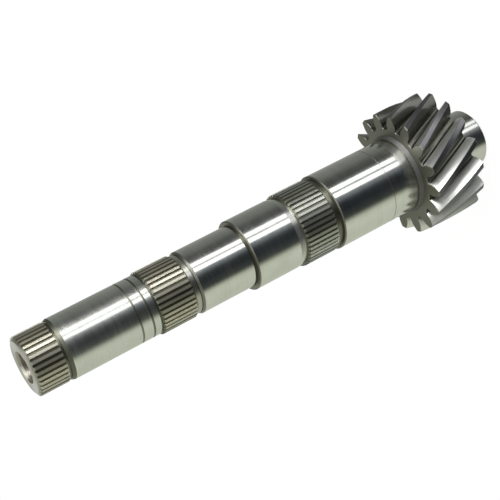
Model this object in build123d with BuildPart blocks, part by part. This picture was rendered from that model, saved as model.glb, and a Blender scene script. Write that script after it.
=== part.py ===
from build123d import *
import math
import os

# The shaft stands on its gear end: Z runs up the axis, from the rear end face to the splined front end.

# Section lengths along the axis, from the rear end upwards
rear_journal_length = 18.4
gear_face_width = 30.6
collar_length = 2.1
collar_groove_width = 1.1
main_journal_length = 46.0
main_undercut_width = 1.1
large_neck_length = 1.8
large_spline_length = 19.0
large_groove_width = 1.0
middle_journal_length = 27.7
shoulder_land_width = 0.5
shoulder_undercut_width = 0.8
second_journal_length = 29.6
second_undercut_width = 0.4
middle_neck_length = 2.4
middle_spline_length = 19.2
front_relief_width = 1.0
front_journal_length = 46.8
small_neck_length = 1.4
small_spline_length = 15.1

# Journal radii
rear_journal_radius = 15.5
main_journal_radius = 20.0
middle_journal_radius = 18.45
second_journal_radius = 16.25
front_journal_radius = 15.4

# Chamfers and tapers of the journals: depth along the radius, length along the axis
rear_end_chamfer = 1.0
main_lead_depth = 0.6
main_lead_length = 0.5
middle_taper_depth = 0.55
middle_taper_length = 2.9
middle_lead = 0.5
second_lead_depth = 0.7
second_lead_length = 1.05
front_lead_depth = 0.7
front_lead_length = 1.7

# Tapered collar in front of the gear: its step above the main journal, and its rise towards the gear
collar_step = 0.4
collar_rise = 1.1

# Depths of the grooves and undercuts below the journal beside them, and of the necks below the spline root
collar_groove_depth = 0.6
main_undercut_depth = 2.1
large_groove_depth = 0.95
shoulder_land_depth = 0.15
shoulder_undercut_depth = 0.55
second_undercut_depth = 1.25
front_relief_depth = 0.5
neck_depth = 0.1

# Fine turned lines around the main journal and the front journal
seat_line_from_groove = 14.1
seat_line_width = 0.4
seat_line_depth = 0.1
front_line_width = 1.0
front_line_depth = 0.15
front_line_from_relief = 3.7
front_line_spacing = 6.0

# Helical pinion, left hand
gear_teeth = 16
normal_module = 3.35
helix_angle = 25.5
normal_pressure_angle = 20.0
addendum_factor = 1.0
dedendum_factor = 1.38
gear_root_fillet = 1.4
gear_tip_chamfer = 0.45
gear_edge_chamfer = 0.3
gear_gap_angle = -0.92
involute_points = 5
cut_clearance = 1.0

# Straight splines: teeth, tip radius and the angle at which one gap lies
small_spline_teeth = 34
small_spline_radius = 14.95
small_spline_angle = -0.5
middle_spline_teeth = 38
middle_spline_radius = 16.2
middle_spline_angle = 3.06
large_spline_teeth = 46
large_spline_radius = 19.4
large_spline_angle = 3.61

# Spline tooth form: height, and the shares of the pitch that the land and the floor of the gap fill
spline_tooth_height = 0.85
spline_land_share = 0.48
spline_floor_share = 0.3
spline_end_chamfer = 0.8
front_chamfer_depth = 1.9
front_chamfer_length = 0.95

# Blind centre bore in the front end, with a chamfered mouth
bore_radius = 7.2
bore_depth = 38.0
bore_mouth_widening = 1.0
bore_mouth_depth = 1.2
drill_point_angle = 118.0

# Centre hole in the rear end
centre_mouth_radius = 4.0
centre_hole_angle = 60.0
centre_pilot_radius = 1.6
centre_pilot_length = 3.0

# Heights of the sections
gear_base = rear_journal_length
gear_top = gear_base + gear_face_width
collar_top = gear_top + collar_length
main_base = collar_top + collar_groove_width
main_top = main_base + main_journal_length
large_neck_base = main_top + main_undercut_width
large_spline_base = large_neck_base + large_neck_length
large_spline_top = large_spline_base + large_spline_length
middle_base = large_spline_top + large_groove_width
middle_top = middle_base + middle_journal_length
shoulder_land_top = middle_top + shoulder_land_width
second_base = shoulder_land_top + shoulder_undercut_width
second_top = second_base + second_journal_length
middle_neck_base = second_top + second_undercut_width
middle_spline_base = middle_neck_base + middle_neck_length
middle_spline_top = middle_spline_base + middle_spline_length
front_base = middle_spline_top + front_relief_width
front_top = front_base + front_journal_length
small_spline_base = front_top + small_neck_length
front_face = small_spline_base + small_spline_length

# The splines: teeth, tip radius, angle of one gap, lower end and upper end
splines = (
    (small_spline_teeth, small_spline_radius, small_spline_angle, small_spline_base, front_face),
    (middle_spline_teeth, middle_spline_radius, middle_spline_angle, middle_spline_base, middle_spline_top),
    (large_spline_teeth, large_spline_radius, large_spline_angle, large_spline_base, large_spline_top),
)

# Radii of the collar, and of the grooves, undercuts and necks
collar_journal_radius = main_journal_radius + collar_step
collar_gear_radius = collar_journal_radius + collar_rise
collar_groove_radius = main_journal_radius - collar_groove_depth
main_undercut_radius = main_journal_radius - main_undercut_depth
large_neck_radius = large_spline_radius - spline_tooth_height - neck_depth
large_groove_radius = middle_journal_radius - large_groove_depth
shoulder_land_radius = second_journal_radius - shoulder_land_depth
shoulder_undercut_radius = second_journal_radius - shoulder_undercut_depth
second_undercut_radius = second_journal_radius - second_undercut_depth
middle_neck_radius = middle_spline_radius - spline_tooth_height - neck_depth
front_relief_radius = front_journal_radius - front_relief_depth
small_neck_radius = small_spline_radius - spline_tooth_height - neck_depth

# Heights and radii of the bore in the front end and of the centre hole in the rear end
bore_mouth_radius = bore_radius + bore_mouth_widening
bore_end = front_face - bore_depth
drill_point = bore_radius / math.tan(math.radians(drill_point_angle / 2))
centre_cone = (centre_mouth_radius - centre_pilot_radius) / math.tan(math.radians(centre_hole_angle / 2))
centre_pilot_end = centre_cone + centre_pilot_length
centre_drill_point = centre_pilot_radius / math.tan(math.radians(drill_point_angle / 2))

# Gear proportions in the plane across the axis
helix = math.radians(helix_angle)
pitch_radius = gear_teeth * normal_module / math.cos(helix) / 2
gear_tip_radius = pitch_radius + addendum_factor * normal_module
gear_root_radius = pitch_radius - dedendum_factor * normal_module
pressure_angle = math.atan(math.tan(math.radians(normal_pressure_angle)) / math.cos(helix))
gear_base_radius = pitch_radius * math.cos(pressure_angle)
gear_lead = 2 * math.pi * pitch_radius / math.tan(helix)

# The cut of the gear's gaps runs past the blank on every side
gap_cut_radius = gear_tip_radius + cut_clearance
gap_cut_base = gear_base - cut_clearance
gap_cut_length = gear_face_width + 2 * cut_clearance
gap_cut_angle = gear_gap_angle + 360 * (gear_top - gap_cut_base) / gear_lead


def polar(radius, angle):
    """The point at a radius and an angle in radians."""
    return (radius * math.cos(angle), radius * math.sin(angle))


def half_gap_angle(radius):
    """Half the angle between two gear teeth, in radians, on their involute flanks at a radius."""
    flank_angle = math.acos(gear_base_radius / radius)
    return (
        math.pi / (2 * gear_teeth)
        + (math.tan(flank_angle) - flank_angle)
        - (math.tan(pressure_angle) - pressure_angle)
    )


def gear_gap_outline():
    """Draws the gap between two gear teeth on +X: involute flanks, radial feet and root."""
    steps = [(step / (involute_points - 1)) ** 2 for step in range(involute_points)]
    flank_radii = [gear_base_radius + (gap_cut_radius - gear_base_radius) * step for step in steps]
    foot = half_gap_angle(gear_base_radius)
    mouth = half_gap_angle(gap_cut_radius)
    for side in (-1, 1):
        Spline(*[polar(radius, side * half_gap_angle(radius)) for radius in flank_radii])
        Line(polar(gear_base_radius, side * foot), polar(gear_root_radius, side * foot))
    for radius, half in ((gear_root_radius, foot), (gap_cut_radius, mouth)):
        ThreePointArc(polar(radius, -half), polar(radius, 0), polar(radius, half))


def spline_gap_outline(teeth, tip_radius):
    """Draws the gap between two spline teeth on +X, reaching one tooth height past the tips."""
    pitch = 2 * math.pi / teeth
    floor_half = pitch * spline_floor_share / 2
    tip_half = pitch * (1 - spline_land_share) / 2
    outer_half = 2 * tip_half - floor_half
    Polyline(
        polar(tip_radius + spline_tooth_height, -outer_half),
        polar(tip_radius - spline_tooth_height, -floor_half),
        polar(tip_radius - spline_tooth_height, floor_half),
        polar(tip_radius + spline_tooth_height, outer_half),
        close=True,
    )


def distance_from_axis(shape):
    """How far the centre of an edge or vertex lies from the axis."""
    return math.hypot(shape.center().X, shape.center().Y)


with BuildPart() as gear:
    # Blank with turned tip chamfers
    with Locations((0, 0, gear_base)):
        Cylinder(gear_tip_radius, gear_face_width, align=(Align.CENTER, Align.CENTER, Align.MIN))
    chamfer(gear.edges().filter_by(GeomType.CIRCLE), length=gear_tip_chamfer)

    # Helical gaps
    with BuildSketch(Plane.XY.offset(gap_cut_base)):
        with BuildSketch(mode=Mode.PRIVATE) as gear_gap:
            with BuildLine():
                gear_gap_outline()
            make_face()
            fillet(gear_gap.vertices().group_by(SortBy.DISTANCE)[0], radius=gear_root_fillet)
        with PolarLocations(0, gear_teeth, start_angle=gap_cut_angle):
            add(gear_gap.sketch)
    with BuildLine() as gear_axis:
        Line((0, 0, gap_cut_base), (0, 0, gap_cut_base + gap_cut_length))
    with BuildLine(Plane.XY.offset(gap_cut_base)) as gear_guide:
        Helix(gear_lead, gap_cut_length, pitch_radius, lefthand=True)
    sweep(path=gear_axis.wire(), binormal=gear_guide.wire(), mode=Mode.SUBTRACT)

    # Deburred edges below the tips, at both ends of the teeth
    end_edges = gear.faces().filter_by(Plane.XY).edges()
    tooth_edges = end_edges.filter_by(
        lambda edge: distance_from_axis(edge) < gear_tip_radius - 2 * gear_tip_chamfer
    )
    chamfer(tooth_edges, length=gear_edge_chamfer)

with BuildPart() as pinion_shaft:
    # Turned shaft
    with BuildSketch(Plane.XZ):
        with BuildLine():
            Polyline(
                (0, 0),
                (rear_journal_radius - rear_end_chamfer, 0),
                (rear_journal_radius, rear_end_chamfer),
                (rear_journal_radius, gear_top),
                (collar_gear_radius, gear_top),
                (collar_journal_radius, collar_top),
                (collar_groove_radius, collar_top),
                (collar_groove_radius, main_base),
                (main_journal_radius, main_base),
                (main_journal_radius, main_top - main_lead_length),
                (main_journal_radius - main_lead_depth, main_top),
                (main_undercut_radius, main_top),
                (main_undercut_radius, large_neck_base),
                (large_neck_radius, large_neck_base),
                (large_neck_radius, large_spline_base),
                (large_spline_radius - spline_end_chamfer, large_spline_base),
                (large_spline_radius, large_spline_base + spline_end_chamfer),
                (large_spline_radius, large_spline_top - spline_end_chamfer),
                (large_spline_radius - spline_end_chamfer, large_spline_top),
                (large_groove_radius, large_spline_top),
                (large_groove_radius, middle_base),
                (middle_journal_radius - middle_taper_depth, middle_base),
                (middle_journal_radius, middle_base + middle_taper_length),
                (middle_journal_radius, middle_top - middle_lead),
                (middle_journal_radius - middle_lead, middle_top),
                (shoulder_land_radius, middle_top),
                (shoulder_land_radius, shoulder_land_top),
                (shoulder_undercut_radius, shoulder_land_top),
                (shoulder_undercut_radius, second_base),
                (second_journal_radius, second_base),
                (second_journal_radius, second_top - second_lead_length),
                (second_journal_radius - second_lead_depth, second_top),
                (second_undercut_radius, second_top),
                (second_undercut_radius, middle_neck_base),
                (middle_neck_radius, middle_neck_base),
                (middle_neck_radius, middle_spline_base),
                (middle_spline_radius - spline_end_chamfer, middle_spline_base),
                (middle_spline_radius, middle_spline_base + spline_end_chamfer),
                (middle_spline_radius, middle_spline_top - spline_end_chamfer),
                (middle_spline_radius - spline_end_chamfer, middle_spline_top),
                (front_relief_radius, middle_spline_top),
                (front_relief_radius, front_base),
                (front_journal_radius, front_base),
                (front_journal_radius, front_top - front_lead_length),
                (front_journal_radius - front_lead_depth, front_top),
                (small_neck_radius, front_top),
                (small_neck_radius, small_spline_base),
                (small_spline_radius, small_spline_base),
                (small_spline_radius, front_face - front_chamfer_length),
                (small_spline_radius - front_chamfer_depth, front_face),
                (0, front_face),
                close=True,
            )
        make_face()
    revolve(axis=Axis.Z)

    # Fine turned lines
    with BuildSketch(Plane.XZ):
        with Locations((main_journal_radius, main_base + seat_line_from_groove)):
            Rectangle(2 * seat_line_depth, seat_line_width)
        with Locations((front_journal_radius, front_base + front_line_from_relief)):
            Rectangle(2 * front_line_depth, front_line_width)
        with Locations((front_journal_radius, front_base + front_line_from_relief + front_line_spacing)):
            Rectangle(2 * front_line_depth, front_line_width)
    revolve(axis=Axis.Z, mode=Mode.SUBTRACT)

    # Bore with its mouth chamfer and drill point
    with BuildSketch(Plane.XZ):
        with BuildLine():
            Polyline(
                (0, front_face),
                (bore_mouth_radius, front_face),
                (bore_radius, front_face - bore_mouth_depth),
                (bore_radius, bore_end),
                (0, bore_end - drill_point),
                close=True,
            )
        make_face()
    revolve(axis=Axis.Z, mode=Mode.SUBTRACT)

    # Centre hole
    with BuildSketch(Plane.XZ):
        with BuildLine():
            Polyline(
                (0, 0),
                (centre_mouth_radius, 0),
                (centre_pilot_radius, centre_cone),
                (centre_pilot_radius, centre_pilot_end),
                (0, centre_pilot_end + centre_drill_point),
                close=True,
            )
        make_face()
    revolve(axis=Axis.Z, mode=Mode.SUBTRACT)

    # Gaps between the spline teeth, cut into the turned lands
    for teeth, tip_radius, gap_angle, base, top in splines:
        with BuildSketch(Plane.XY.offset(base)):
            with BuildSketch(mode=Mode.PRIVATE) as spline_gap:
                with BuildLine():
                    spline_gap_outline(teeth, tip_radius)
                make_face()
            with PolarLocations(0, teeth, start_angle=gap_angle):
                add(spline_gap.sketch)
        extrude(amount=top - base, mode=Mode.SUBTRACT)

    # The gear is forged and hobbed in one piece with the shaft
    add(gear.part)

pinion_shaft.part.label = "pinion_shaft"
os.makedirs("parts", exist_ok=True)
export_step(pinion_shaft.part, "parts/pinion_shaft.step")
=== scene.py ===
import math

import bpy
from mathutils import Matrix, Vector

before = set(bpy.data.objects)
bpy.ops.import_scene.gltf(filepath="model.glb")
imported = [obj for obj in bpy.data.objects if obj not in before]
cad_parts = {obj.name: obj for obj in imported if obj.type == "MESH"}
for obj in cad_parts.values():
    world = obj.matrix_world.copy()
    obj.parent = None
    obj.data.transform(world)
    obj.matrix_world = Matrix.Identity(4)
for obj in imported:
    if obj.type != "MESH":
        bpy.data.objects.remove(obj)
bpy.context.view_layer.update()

MM = 0.001
HALF_TURN = 180.0
FULL_TURN = 360.0
SHAFT = "pinion_shaft"
WHITE = (1.0, 1.0, 1.0, 1.0)

# Camera: place and directions in the shaft's frame, as read from the photograph's perspective
CAMERA_PLACE = (0.0, -0.54864, 0.37516)
CAMERA_RIGHT = (-0.46112, -0.34699, -0.81668)
CAMERA_UP = (0.88735, -0.18055, -0.42430)
CAMERA_BACK = (-0.0002, -0.92033, 0.39115)
CAMERA_LENS_MM = 87.94
CAMERA_SENSOR_MM = 36.0
CAMERA_CLIP = (0.01, 100.0)

# Floor: its half width, its paper, the share of it that takes light and shadow, and the glow of the rest,
# which makes up for what the paper lacks of white
FLOOR_HALF_WIDTH = 20.0
FLOOR_PAPER = (0.9, 0.9, 0.9, 1.0)
FLOOR_PAPER_SHARE = 0.1
FLOOR_GLOW = 1.06

# The studio that the steel mirrors, by azimuth in degrees: 0 is the camera's side and 90 is +X.
# Dark cards stand beside the camera, and pale walls further round
ROOM_BELOW = (
    (-180, (0.85, 0.90, 0.78)),
    (-168, (0.60, 0.64, 0.54)),
    (-120, (0.74, 0.78, 0.66)),
    (-75, (0.84, 0.88, 0.74)),
    (-62, (0.74, 0.78, 0.64)),
    (-54, (0.36, 0.39, 0.32)),
    (-47, (0.085, 0.095, 0.075)),
    (-38, (0.045, 0.055, 0.055)),
    (-20, (0.025, 0.03, 0.035)),
    (-6, (0.03, 0.035, 0.04)),
    (2, (0.07, 0.08, 0.09)),
    (8, (0.18, 0.20, 0.22)),
    (15, (0.27, 0.30, 0.33)),
    (24, (0.40, 0.43, 0.45)),
    (34, (0.40, 0.43, 0.45)),
    (44, (0.40, 0.42, 0.40)),
    (56, (0.17, 0.18, 0.17)),
    (64, (0.08, 0.085, 0.08)),
    (80, (0.12, 0.125, 0.12)),
    (100, (0.23, 0.25, 0.23)),
    (140, (0.34, 0.35, 0.33)),
    (168, (0.42, 0.44, 0.40)),
    (180, (0.85, 0.90, 0.78)),
)
ROOM_ABOVE = (
    (-180, (0.42, 0.43, 0.38)),
    (-120, (0.62, 0.63, 0.54)),
    (-60, (0.60, 0.61, 0.53)),
    (-40, (0.34, 0.35, 0.31)),
    (-20, (0.16, 0.165, 0.16)),
    (0, (0.36, 0.37, 0.36)),
    (20, (0.60, 0.62, 0.60)),
    (60, (0.50, 0.52, 0.50)),
    (90, (0.26, 0.27, 0.25)),
    (120, (0.16, 0.165, 0.15)),
    (160, (0.20, 0.205, 0.18)),
    (180, (0.42, 0.43, 0.38)),
)
ROOM_BOTTOM = (
    (-180, (0.20, 0.20, 0.18)),
    (-120, (0.12, 0.12, 0.105)),
    (-70, (0.12, 0.12, 0.11)),
    (-40, (0.15, 0.155, 0.16)),
    (-10, (0.15, 0.155, 0.16)),
    (6, (0.20, 0.20, 0.20)),
    (22, (1.15, 1.16, 1.15)),
    (54, (1.20, 1.22, 1.21)),
    (68, (0.12, 0.12, 0.115)),
    (100, (0.24, 0.24, 0.22)),
    (150, (0.32, 0.32, 0.29)),
    (180, (0.20, 0.20, 0.18)),
)
# Elevations over which the room's lower part goes over into its upper part, and into its bottom
HORIZON_BLEND = (-8.0, 3.0)
BOTTOM_BLEND = (-37.0, -42.0)

# Lamps in that room: azimuth, half width, lowest and highest elevation, soft edge, brightness.
# Two long strip lamps beside the camera, and a window above them
LAMPS = (
    (26.0, 6.2, -34.5, -6.0, 3.0, 2.5),
    (45.2, 6.2, -34.5, -6.0, 3.0, 2.5),
    (50.0, 13.0, 6.0, 26.0, 6.0, 17.0),
)

# What reflections see of the white surroundings: the backdrop behind the shaft, from this azimuth on and
# below this elevation, and the floor under it, below this elevation
BACKDROP_AZIMUTH = (162.0, 176.0)
BACKDROP_TOP = (28.0, 16.0)
FLOOR_TOP = (-70.0, -80.0)

# Softbox above the shaft: its direction in degrees, its distance, its width and height, and its power
SOFTBOX_AZIMUTH = 60.0
SOFTBOX_ELEVATION = 70.0
SOFTBOX_DISTANCE = 1.2
SOFTBOX_SIZE = (1.2, 0.9)
SOFTBOX_POWER = 4.0

# Steel of the ground journals, of turned faces and necks, of the splines and of the gear, with darker
# colours of painted shade and one lighter colour of painted highlight
GROUND = (0.56, 0.56, 0.53, 1.0)
TURNED = (0.40, 0.40, 0.36, 1.0)
# Darker than the journal's steel near the collar: painted shade
RUBBED_SHADE = (0.36, 0.36, 0.34, 1.0)
# Leads, necks and the shadowed bands are darker than the steel's own colour: painted shade
LEAD_SHADE = (0.26, 0.26, 0.23, 1.0)
NECK_SHADE = (0.22, 0.22, 0.18, 1.0)
SHADOWED = (0.17, 0.17, 0.135, 1.0)
# The collar is darker than the steel's own colour: painted shade that keeps its highlight down
COLLAR_SHADE = (0.21, 0.21, 0.205, 1.0)
SPLINE_WARM = (0.50, 0.48, 0.40, 1.0)
SPLINE_COOL = (0.40, 0.415, 0.39, 1.0)
# The gaps' floors and sides are darker than the lands: painted shade between the teeth
SPLINE_FLANK_SHADE = (0.34, 0.33, 0.26, 1.0)
SPLINE_FLOOR_SHADE = (0.15, 0.145, 0.11, 1.0)
# Lit and shaded copies of one steel: coast flanks darker as painted shade, drive flanks lighter as a
# painted highlight
GEAR_COAST_FLANK_SHADE = (0.17, 0.17, 0.155, 1.0)
GEAR_DRIVE_FLANK_HIGHLIGHT = (0.80, 0.80, 0.77, 1.0)
# The gear's tips and roots are darker than its steel: painted shade
GEAR_TIP_SHADE = (0.165, 0.165, 0.175, 1.0)
GEAR_ROOT_SHADE = (0.13, 0.13, 0.11, 1.0)
# Faces are darker than the steel's own colour: painted shade
FACE_SHADE = (0.24, 0.24, 0.20, 1.0)
END_FACE = (0.445, 0.445, 0.375, 1.0)
BORE = (0.46, 0.43, 0.37, 1.0)

# Heights along the shaft (mm): the teeth of the gear, up to just past its front face, the start of the
# main journal, and the teeth of the splines, each from its lowest to its highest
GEAR_BAND = (18.4, 49.05)
MAIN_JOURNAL_START = 52.2
REAR_SPLINE = (101.1, 120.1)
MIDDLE_SPLINE = (182.5, 201.7)
FRONT_SPLINE = (250.9, 266.0)
BAND_EDGE = 0.02

# Finish along the shaft, some of it painted shade: from this height on (mm), colour and roughness
FINISHES_AND_PAINTED_SHADE = (
    (0.0, TURNED, 0.34),  # rear chamfer
    (1.0, GROUND, 0.155),  # rear journal
    (GEAR_BAND[0], GEAR_COAST_FLANK_SHADE, 0.23),  # gear
    (49.0, COLLAR_SHADE, 0.66),  # collar
    (51.1, TURNED, 0.30),  # groove
    (MAIN_JOURNAL_START, GROUND, 0.151),  # main journal
    (66.1, TURNED, 0.32),  # its fine line
    (66.5, GROUND, 0.151),  # main journal
    (97.7, SHADOWED, 0.30),  # its lead
    (98.2, SHADOWED, 0.36),  # undercut and neck
    (REAR_SPLINE[0], SPLINE_COOL, 0.38),  # rear spline
    (REAR_SPLINE[1], GROUND, 0.30),  # groove
    (121.1, GROUND, 0.24),  # taper
    (124.0, GROUND, 0.19),  # middle journal
    (148.3, SHADOWED, 0.34),  # shoulder
    (150.1, GROUND, 0.19),  # second journal
    (178.65, LEAD_SHADE, 0.30),  # its lead
    (179.7, SHADOWED, 0.36),  # undercut
    (180.1, TURNED, 0.32),  # neck
    (MIDDLE_SPLINE[0], SPLINE_WARM, 0.44),  # middle spline
    (MIDDLE_SPLINE[1], SHADOWED, 0.36),  # relief
    (202.7, GROUND, 0.25),  # front journal
    (205.9, SHADOWED, 0.36),  # its first line
    (206.9, GROUND, 0.25),  # front journal
    (211.9, NECK_SHADE, 0.36),  # its second line
    (212.9, GROUND, 0.255),  # front journal
    (247.8, SHADOWED, 0.5),  # its lead
    (249.5, SHADOWED, 0.34),  # neck
    (FRONT_SPLINE[0], SPLINE_WARM, 0.46),  # front spline
)

# The steel shines wider along the shaft than around it: how much, and a quarter turn to lay it so
ANISOTROPY = 0.65
ANISOTROPY_TURN = 0.25

# Splines: lowest and highest height and radius of the lands (mm), and the depth where the gaps and their
# painted shade begin
SPLINES = ((*REAR_SPLINE, 19.4), (*MIDDLE_SPLINE, 16.2), (*FRONT_SPLINE, 14.95))
SPLINE_GAP_DEPTH = (0.08, 0.25)
SPLINE_GAP_ROUGHNESS = 0.30
# How far a tooth's side turns from the radial direction where it goes over from floor to flank
FLANK_TURN = (0.25, 0.6)

# Between these heights (mm) the main journal goes over from ground to duller steel, towards the collar:
# rougher, and darker as a painted shade
RUBBED_AND_SHADED_BAND = (59.0, 54.0)
RUBBED_ROUGHNESS = 0.34

# Gear: the radii from root to flank and from flank to tip (mm), where the painted shade of roots and tips
# takes over, and its twist
GEAR_ROOT_RADIUS = (25.7, 27.0)
GEAR_TIP_RADIUS = (32.85, 32.95)
GEAR_TIP_ROUGHNESS = 0.36
GEAR_ROOT_ROUGHNESS = 0.30
GEAR_DRIVE_ROUGHNESS = 0.53
GEAR_PITCH_RADIUS = 29.69
GEAR_HELIX = math.radians(25.5)

# How far a face's normal lies along the axis where its darker colour, a painted shade, takes over
FACE_TILT = (0.52, 0.66)
FACE_ROUGHNESS = 0.42
# The front end face with its chamfer, from this height on, and the bore, within this radius (mm)
END_FACE_HEIGHT = 265.05
END_FACE_TILT = (0.3, 0.5)
END_FACE_ROUGHNESS = 0.36
BORE_RADIUS = 7.6
BORE_ROUGHNESS = 0.45

# Tool marks and clouds: grains per mm and detail, and how slowly the marks change along their length
FINE_MARKS = 6.0
FINE_DETAIL = 2.0
COARSE_MARKS = 0.9
COARSE_DETAIL = 3.0
CLOUDS = 0.11
CLOUD_DETAIL = 4.0
MARK_SLOWNESS = 0.02
# How much they change the colour and the roughness
FINE_SHADE = 0.10
COARSE_SHADE = 0.15
CLOUD_SHADE = 0.24
COARSE_ROUGHNESS = 0.09
CLOUD_ROUGHNESS = 0.08
# Height of the fine marks (m), the coarse ones' share of it, and how it grows from ground to rough steel
MARK_HEIGHT = 6e-6
COARSE_HEIGHT = 0.15
RELIEF_ROUGHNESS = (0.15, 0.36)
RELIEF = (0.25, 1.0)


def empty_tree(owner):
    """The node tree of a new world or material, with nothing in it."""
    owner.use_nodes = True
    owner.node_tree.nodes.clear()
    return owner.node_tree


def add_object(name, data):
    """Adds an object with this data to the scene."""
    made = bpy.data.objects.new(name, data)
    bpy.context.scene.collection.objects.link(made)
    return made


def add_node(tree, kind, inputs=(), **settings):
    """Adds a node with its settings, and its inputs as (name or number, value or socket) pairs."""
    made = tree.nodes.new(kind)
    for name, value in settings.items():
        setattr(made, name, value)
    for name, value in inputs:
        if isinstance(value, bpy.types.NodeSocket):
            tree.links.new(value, made.inputs[name])
        else:
            made.inputs[name].default_value = value
    return made


def calculate(tree, operation, *values):
    """A math node's result."""
    return add_node(tree, "ShaderNodeMath", enumerate(values), operation=operation).outputs[0]


def scale_vector(tree, vector, factors):
    """A vector with each of its parts multiplied by a factor of its own."""
    inputs = ((0, vector), (1, factors))
    return add_node(tree, "ShaderNodeVectorMath", inputs, operation="MULTIPLY").outputs[0]


def z_part(tree, vector):
    """A vector's part along Z."""
    return add_node(tree, "ShaderNodeSeparateXYZ", ((0, vector),)).outputs["Z"]


def between(tree, value, start, end, low=0.0, high=1.0):
    """Goes smoothly from low to high as value goes from start to end."""
    inputs = ((0, value), (1, start), (2, end), (3, low), (4, high))
    made = add_node(tree, "ShaderNodeMapRange", inputs, interpolation_type="SMOOTHSTEP")
    return made.outputs[0]


def inside(tree, value, low, high, edge):
    """1 where value lies from low to high, 0 outside, with soft edges."""
    above = between(tree, value, low - edge / 2, low + edge / 2)
    below = between(tree, value, high + edge / 2, high - edge / 2)
    return calculate(tree, "MULTIPLY", above, below)


def mix_value(tree, factor, low, high):
    """A value that goes from low to high with the factor."""
    return add_node(tree, "ShaderNodeMix", ((0, factor), (2, low), (3, high))).outputs[0]


def mix_vector(tree, factor, low, high):
    """A vector that goes from low to high with the factor."""
    inputs = ((0, factor), (4, low), (5, high))
    return add_node(tree, "ShaderNodeMix", inputs, data_type="VECTOR").outputs[1]


def mix_colour(tree, factor, low, high):
    """A colour that goes from low to high with the factor."""
    inputs = ((0, factor), (6, low), (7, high))
    return add_node(tree, "ShaderNodeMix", inputs, data_type="RGBA").outputs[2]


def colour_ramp(tree, factor, stops):
    """A colour ramp's result, from stops of place and colour."""
    made = add_node(tree, "ShaderNodeValToRGB", ((0, factor),))
    ramp = made.color_ramp
    while len(ramp.elements) < len(stops):
        ramp.elements.new(1.0)
    for element, (place, colour) in zip(ramp.elements, stops):
        element.position = place
        element.color = (*colour, 1.0)
    return made.outputs[0]


def noise(tree, place, grains, detail):
    """Even noise from about -0.5 to 0.5, with this many grains per unit of place."""
    inputs = (("Vector", place), ("Scale", grains), ("Detail", detail))
    made = add_node(tree, "ShaderNodeTexNoise", inputs)
    return calculate(tree, "SUBTRACT", made.outputs[0], 0.5)


def world_direction(tree):
    """Azimuth and elevation of each direction, in degrees."""
    direction = add_node(tree, "ShaderNodeTexCoord").outputs["Generated"]
    split = add_node(tree, "ShaderNodeSeparateXYZ", ((0, direction),))
    towards_camera = calculate(tree, "MULTIPLY", split.outputs["Y"], -1.0)
    azimuth = calculate(tree, "ARCTAN2", split.outputs["X"], towards_camera)
    elevation = calculate(tree, "ARCSINE", split.outputs["Z"])
    return calculate(tree, "DEGREES", azimuth), calculate(tree, "DEGREES", elevation)


def room_colour(tree, place, stops):
    """The room's colour by azimuth, where place goes from 0 to 1 once around."""
    around = [((azimuth + HALF_TURN) / FULL_TURN, colour) for azimuth, colour in stops]
    return colour_ramp(tree, place, around)


def lamp_light(tree, azimuth, elevation):
    """The light of all the lamps in the room."""
    total = 0.0
    for centre, half_width, low, high, edge, brightness in LAMPS:
        across = inside(tree, azimuth, centre - half_width, centre + half_width, edge)
        lit = calculate(tree, "MULTIPLY", across, inside(tree, elevation, low, high, edge))
        total = calculate(tree, "MULTIPLY_ADD", lit, brightness, total)
    return total


def room_shader(tree, azimuth, elevation):
    """The room with its cards, walls and lamps."""
    place = calculate(tree, "ADD", calculate(tree, "DIVIDE", azimuth, FULL_TURN), 0.5)
    below = room_colour(tree, place, ROOM_BELOW)
    above = room_colour(tree, place, ROOM_ABOVE)
    bottom = room_colour(tree, place, ROOM_BOTTOM)
    walls = mix_colour(tree, between(tree, elevation, *HORIZON_BLEND), below, above)
    walls = mix_colour(tree, between(tree, elevation, *BOTTOM_BLEND), walls, bottom)
    walls = add_node(tree, "ShaderNodeBackground", (("Color", walls),)).outputs[0]
    inputs = (("Color", WHITE), ("Strength", lamp_light(tree, azimuth, elevation)))
    lamps = add_node(tree, "ShaderNodeBackground", inputs).outputs[0]
    return add_node(tree, "ShaderNodeAddShader", ((0, walls), (1, lamps))).outputs[0]


def sees_white(tree, azimuth, elevation):
    """1 for rays that see the white surroundings: from the camera, through glass, and in reflections of
    the backdrop and the floor."""
    behind = between(tree, calculate(tree, "ABSOLUTE", azimuth), *BACKDROP_AZIMUTH)
    backdrop = calculate(tree, "MULTIPLY", behind, between(tree, elevation, *BACKDROP_TOP))
    white_side = calculate(tree, "MAXIMUM", backdrop, between(tree, elevation, *FLOOR_TOP))
    path = add_node(tree, "ShaderNodeLightPath")
    mirrored = calculate(tree, "MULTIPLY", path.outputs["Is Glossy Ray"], white_side)
    seen = calculate(tree, "MAXIMUM", path.outputs["Is Camera Ray"], path.outputs["Is Transmission Ray"])
    return calculate(tree, "MAXIMUM", seen, mirrored)


def make_world():
    """White surroundings, in front of which the room stands for light and reflections."""
    world = bpy.data.worlds.new("studio")
    tree = empty_tree(world)
    azimuth, elevation = world_direction(tree)
    room = room_shader(tree, azimuth, elevation)
    white = add_node(tree, "ShaderNodeBackground", (("Color", WHITE),)).outputs[0]
    inputs = ((0, sees_white(tree, azimuth, elevation)), (1, room), (2, white))
    shown = add_node(tree, "ShaderNodeMixShader", inputs).outputs[0]
    add_node(tree, "ShaderNodeOutputWorld", (("Surface", shown),))
    bpy.context.scene.world = world


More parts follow.
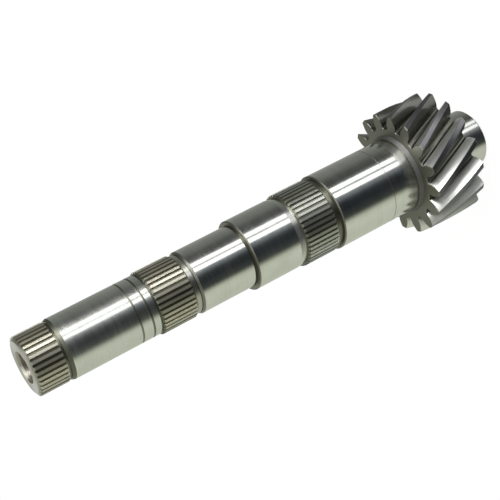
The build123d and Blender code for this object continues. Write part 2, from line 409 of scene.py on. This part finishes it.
def make_softbox():
    """The soft light above the shaft."""
    azimuth, elevation = math.radians(SOFTBOX_AZIMUTH), math.radians(SOFTBOX_ELEVATION)
    across = math.cos(elevation)
    towards = Vector((math.sin(azimuth) * across, -math.cos(azimuth) * across, math.sin(elevation)))
    data = bpy.data.lights.new("softbox", "AREA")
    data.shape = "RECTANGLE"
    data.size, data.size_y = SOFTBOX_SIZE
    data.energy = SOFTBOX_POWER
    softbox = add_object("softbox", data)
    softbox.location = towards * SOFTBOX_DISTANCE
    softbox.rotation_euler = towards.to_track_quat("Z", "Y").to_euler()


def make_floor_white():
    """White that takes a little light and shadow."""
    material = bpy.data.materials.new("floor_white")
    tree = empty_tree(material)
    white = add_node(tree, "ShaderNodeEmission", (("Color", WHITE), ("Strength", FLOOR_GLOW))).outputs[0]
    paper = add_node(tree, "ShaderNodeBsdfDiffuse", (("Color", FLOOR_PAPER),)).outputs[0]
    inputs = ((0, FLOOR_PAPER_SHARE), (1, white), (2, paper))
    shown = add_node(tree, "ShaderNodeMixShader", inputs).outputs[0]
    add_node(tree, "ShaderNodeOutputMaterial", (("Surface", shown),))
    return material


def make_floor():
    """A plain white floor that keeps the shaft's soft shadow."""
    half = FLOOR_HALF_WIDTH
    corners = [(-half, -half, 0), (half, -half, 0), (half, half, 0), (-half, half, 0)]
    mesh = bpy.data.meshes.new("floor")
    mesh.from_pydata(corners, [], [(0, 1, 2, 3)])
    mesh.materials.append(make_floor_white())
    floor = add_object("floor", mesh)
    floor.visible_glossy = False
    floor.visible_diffuse = False
    floor.visible_shadow = False


def make_camera():
    """The photograph's viewpoint."""
    data = bpy.data.cameras.new("camera")
    data.sensor_width = CAMERA_SENSOR_MM
    data.lens = CAMERA_LENS_MM
    data.clip_start, data.clip_end = CAMERA_CLIP
    camera = add_object("camera", data)
    columns = (CAMERA_RIGHT, CAMERA_UP, CAMERA_BACK, CAMERA_PLACE)
    rows = [[column[row] for column in columns] for row in range(3)]
    camera.matrix_world = Matrix(rows + [[0, 0, 0, 1]])
    bpy.context.scene.camera = camera


def shaft_measures(tree):
    """Each point's place, height and distance from the axis in mm, how far its surface faces along the
    axis, and how far the surface turns around it from the radial direction."""
    coordinates = add_node(tree, "ShaderNodeTexCoord")
    normal = coordinates.outputs["Normal"]
    place = scale_vector(tree, coordinates.outputs["Object"], (1 / MM,) * 3)
    across = scale_vector(tree, place, (1, 1, 0))
    radius = add_node(tree, "ShaderNodeVectorMath", ((0, across),), operation="LENGTH").outputs["Value"]
    inputs = ((0, across), (1, normal))
    turning = add_node(tree, "ShaderNodeVectorMath", inputs, operation="CROSS_PRODUCT").outputs[0]
    slope = calculate(tree, "DIVIDE", z_part(tree, turning), radius)
    return place, z_part(tree, place), radius, z_part(tree, normal), slope


def finish_and_shade_by_height(tree, height):
    """Colour and roughness of each ground or turned band, some of them darkened as painted shade."""
    colour, roughness = FINISHES_AND_PAINTED_SHADE[0][1:]
    for start, tint, rough in FINISHES_AND_PAINTED_SHADE[1:]:
        reached = calculate(tree, "GREATER_THAN", height, start)
        colour = mix_colour(tree, reached, colour, tint)
        roughness = mix_value(tree, reached, roughness, rough)
    return colour, roughness


def spline_places(tree, height, radius, slope):
    """Where the gaps between the spline teeth are, with their colour, darkened as painted shade, and
    roughness.
    """
    flank = between(tree, calculate(tree, "ABSOLUTE", slope), *FLANK_TURN)
    colour = mix_colour(tree, flank, SPLINE_FLOOR_SHADE, SPLINE_FLANK_SHADE)
    places = []
    for low, high, land_radius in SPLINES:
        band = inside(tree, height, low, high, BAND_EDGE)
        start, end = (land_radius - depth for depth in SPLINE_GAP_DEPTH)
        shaded_gap = calculate(tree, "MULTIPLY", band, between(tree, radius, start, end))
        places.append((shaded_gap, colour, SPLINE_GAP_ROUGHNESS))
    return places


def gear_places(tree, height, radius, slope):
    """Where the gear's drive flanks, roots and tips are, with their colours and roughnesses: the drive
    flanks lighter as a painted highlight, the roots and tips darker as painted shade.
    """
    gear = inside(tree, height, *GEAR_BAND, BAND_EDGE)
    drive_highlight = calculate(tree, "MULTIPLY", gear, between(tree, slope, *FLANK_TURN))
    root_shade = calculate(tree, "MULTIPLY", gear, between(tree, radius, *reversed(GEAR_ROOT_RADIUS)))
    tip_shade = calculate(tree, "MULTIPLY", gear, between(tree, radius, *GEAR_TIP_RADIUS))
    return [
        (drive_highlight, GEAR_DRIVE_FLANK_HIGHLIGHT, GEAR_DRIVE_ROUGHNESS),
        (root_shade, GEAR_ROOT_SHADE, GEAR_ROOT_ROUGHNESS),
        (tip_shade, GEAR_TIP_SHADE, GEAR_TIP_ROUGHNESS),
    ]


def face_places(tree, height, radius, facing):
    """Where the faces, darkened as painted shade, the front end face and the bore are, with their colours
    and roughnesses.
    """
    flat_shade = between(tree, calculate(tree, "ABSOLUTE", facing), *FACE_TILT)
    front = calculate(tree, "GREATER_THAN", height, END_FACE_HEIGHT)
    end = calculate(tree, "MULTIPLY", front, between(tree, facing, *END_FACE_TILT))
    bore = calculate(tree, "LESS_THAN", radius, BORE_RADIUS)
    return [
        (flat_shade, FACE_SHADE, FACE_ROUGHNESS),
        (end, END_FACE, END_FACE_ROUGHNESS),
        (bore, BORE, BORE_ROUGHNESS),
    ]


def rubbed_and_shaded_place(tree, height):
    """Where the main journal is rubbed dull and darkened with painted shade, with its colour and
    roughness.
    """
    on_journal = calculate(tree, "GREATER_THAN", height, MAIN_JOURNAL_START)
    rubbed_shade = calculate(tree, "MULTIPLY", on_journal, between(tree, height, *RUBBED_AND_SHADED_BAND))
    return rubbed_shade, RUBBED_SHADE, RUBBED_ROUGHNESS


def finish_and_light_by_place(tree, height, radius, facing, slope):
    """Colour and roughness of each ground, turned or hobbed surface, with painted shade and a painted
    highlight, where later places cover earlier.
    """
    colour, roughness = finish_and_shade_by_height(tree, height)
    places = spline_places(tree, height, radius, slope)
    places += gear_places(tree, height, radius, slope)
    places += face_places(tree, height, radius, facing)
    places.append(rubbed_and_shaded_place(tree, height))
    for mask, tint, rough in places:
        colour = mix_colour(tree, mask, colour, tint)
        roughness = mix_value(tree, mask, roughness, rough)
    return colour, roughness


def tool_marks(tree, place, height):
    """Fine and coarse marks: rings where the shaft was ground or turned, and lines along its teeth."""
    twist = calculate(tree, "MULTIPLY", height, math.tan(GEAR_HELIX) / GEAR_PITCH_RADIUS)
    inputs = (("Vector", place), ("Angle", twist))
    untwisted = add_node(tree, "ShaderNodeVectorRotate", inputs, rotation_type="Z_AXIS").outputs[0]
    gear = inside(tree, height, *GEAR_BAND, BAND_EDGE)
    teeth = gear
    for low, high, _ in SPLINES:
        teeth = calculate(tree, "MAXIMUM", teeth, inside(tree, height, low, high, BAND_EDGE))
    rings = scale_vector(tree, place, (MARK_SLOWNESS, MARK_SLOWNESS, 1.0))
    lines = scale_vector(tree, mix_vector(tree, gear, place, untwisted), (1.0, 1.0, MARK_SLOWNESS))
    marks = mix_vector(tree, teeth, rings, lines)
    return noise(tree, marks, FINE_MARKS, FINE_DETAIL), noise(tree, marks, COARSE_MARKS, COARSE_DETAIL)


def vary_finish(tree, colour, roughness, fine, coarse, clouds):
    """Colour and roughness as tool marks and clouds change them."""
    shade = 1.0
    for change, share in ((fine, FINE_SHADE), (coarse, COARSE_SHADE), (clouds, CLOUD_SHADE)):
        shade = calculate(tree, "MULTIPLY_ADD", change, share, shade)
    inputs = ((0, colour), ("Scale", shade))
    colour = add_node(tree, "ShaderNodeVectorMath", inputs, operation="SCALE").outputs[0]
    for change, share in ((clouds, CLOUD_ROUGHNESS), (coarse, COARSE_ROUGHNESS)):
        roughness = calculate(tree, "MULTIPLY_ADD", change, share, roughness)
    return colour, roughness


def mark_bump(tree, roughness, fine, coarse):
    """The tool marks' bump, higher on rough surfaces than on ground ones."""
    relief = between(tree, roughness, *RELIEF_ROUGHNESS, *RELIEF)
    marks = calculate(tree, "MULTIPLY_ADD", coarse, COARSE_HEIGHT, fine)
    inputs = (("Strength", relief), ("Distance", MARK_HEIGHT), ("Height", marks))
    return add_node(tree, "ShaderNodeBump", inputs).outputs[0]


def make_steel():
    """Ground, turned and hobbed steel, with painted shade and a painted highlight in its colours, its
    tool marks and faint clouds.
    """
    material = bpy.data.materials.new("steel_finish_and_painted_light")
    tree = empty_tree(material)
    place, height, radius, facing, slope = shaft_measures(tree)
    colour, roughness = finish_and_light_by_place(tree, height, radius, facing, slope)
    fine, coarse = tool_marks(tree, place, height)
    clouds = noise(tree, place, CLOUDS, CLOUD_DETAIL)
    colour, roughness = vary_finish(tree, colour, roughness, fine, coarse, clouds)
    tangent = add_node(tree, "ShaderNodeTangent", direction_type="RADIAL", axis="Z").outputs[0]
    inputs = (
        ("Base Color", colour),
        ("Metallic", 1.0),
        ("Roughness", roughness),
        ("Anisotropic", ANISOTROPY),
        ("Anisotropic Rotation", ANISOTROPY_TURN),
        ("Normal", mark_bump(tree, roughness, fine, coarse)),
        ("Tangent", tangent),
    )
    steel = add_node(tree, "ShaderNodeBsdfPrincipled", inputs).outputs[0]
    add_node(tree, "ShaderNodeOutputMaterial", (("Surface", steel),))
    return material


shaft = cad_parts[SHAFT]
shaft.data.materials.clear()
shaft.data.materials.append(make_steel())
make_world()
make_softbox()
make_floor()
make_camera()
bpy.context.scene.view_settings.view_transform = "Standard"
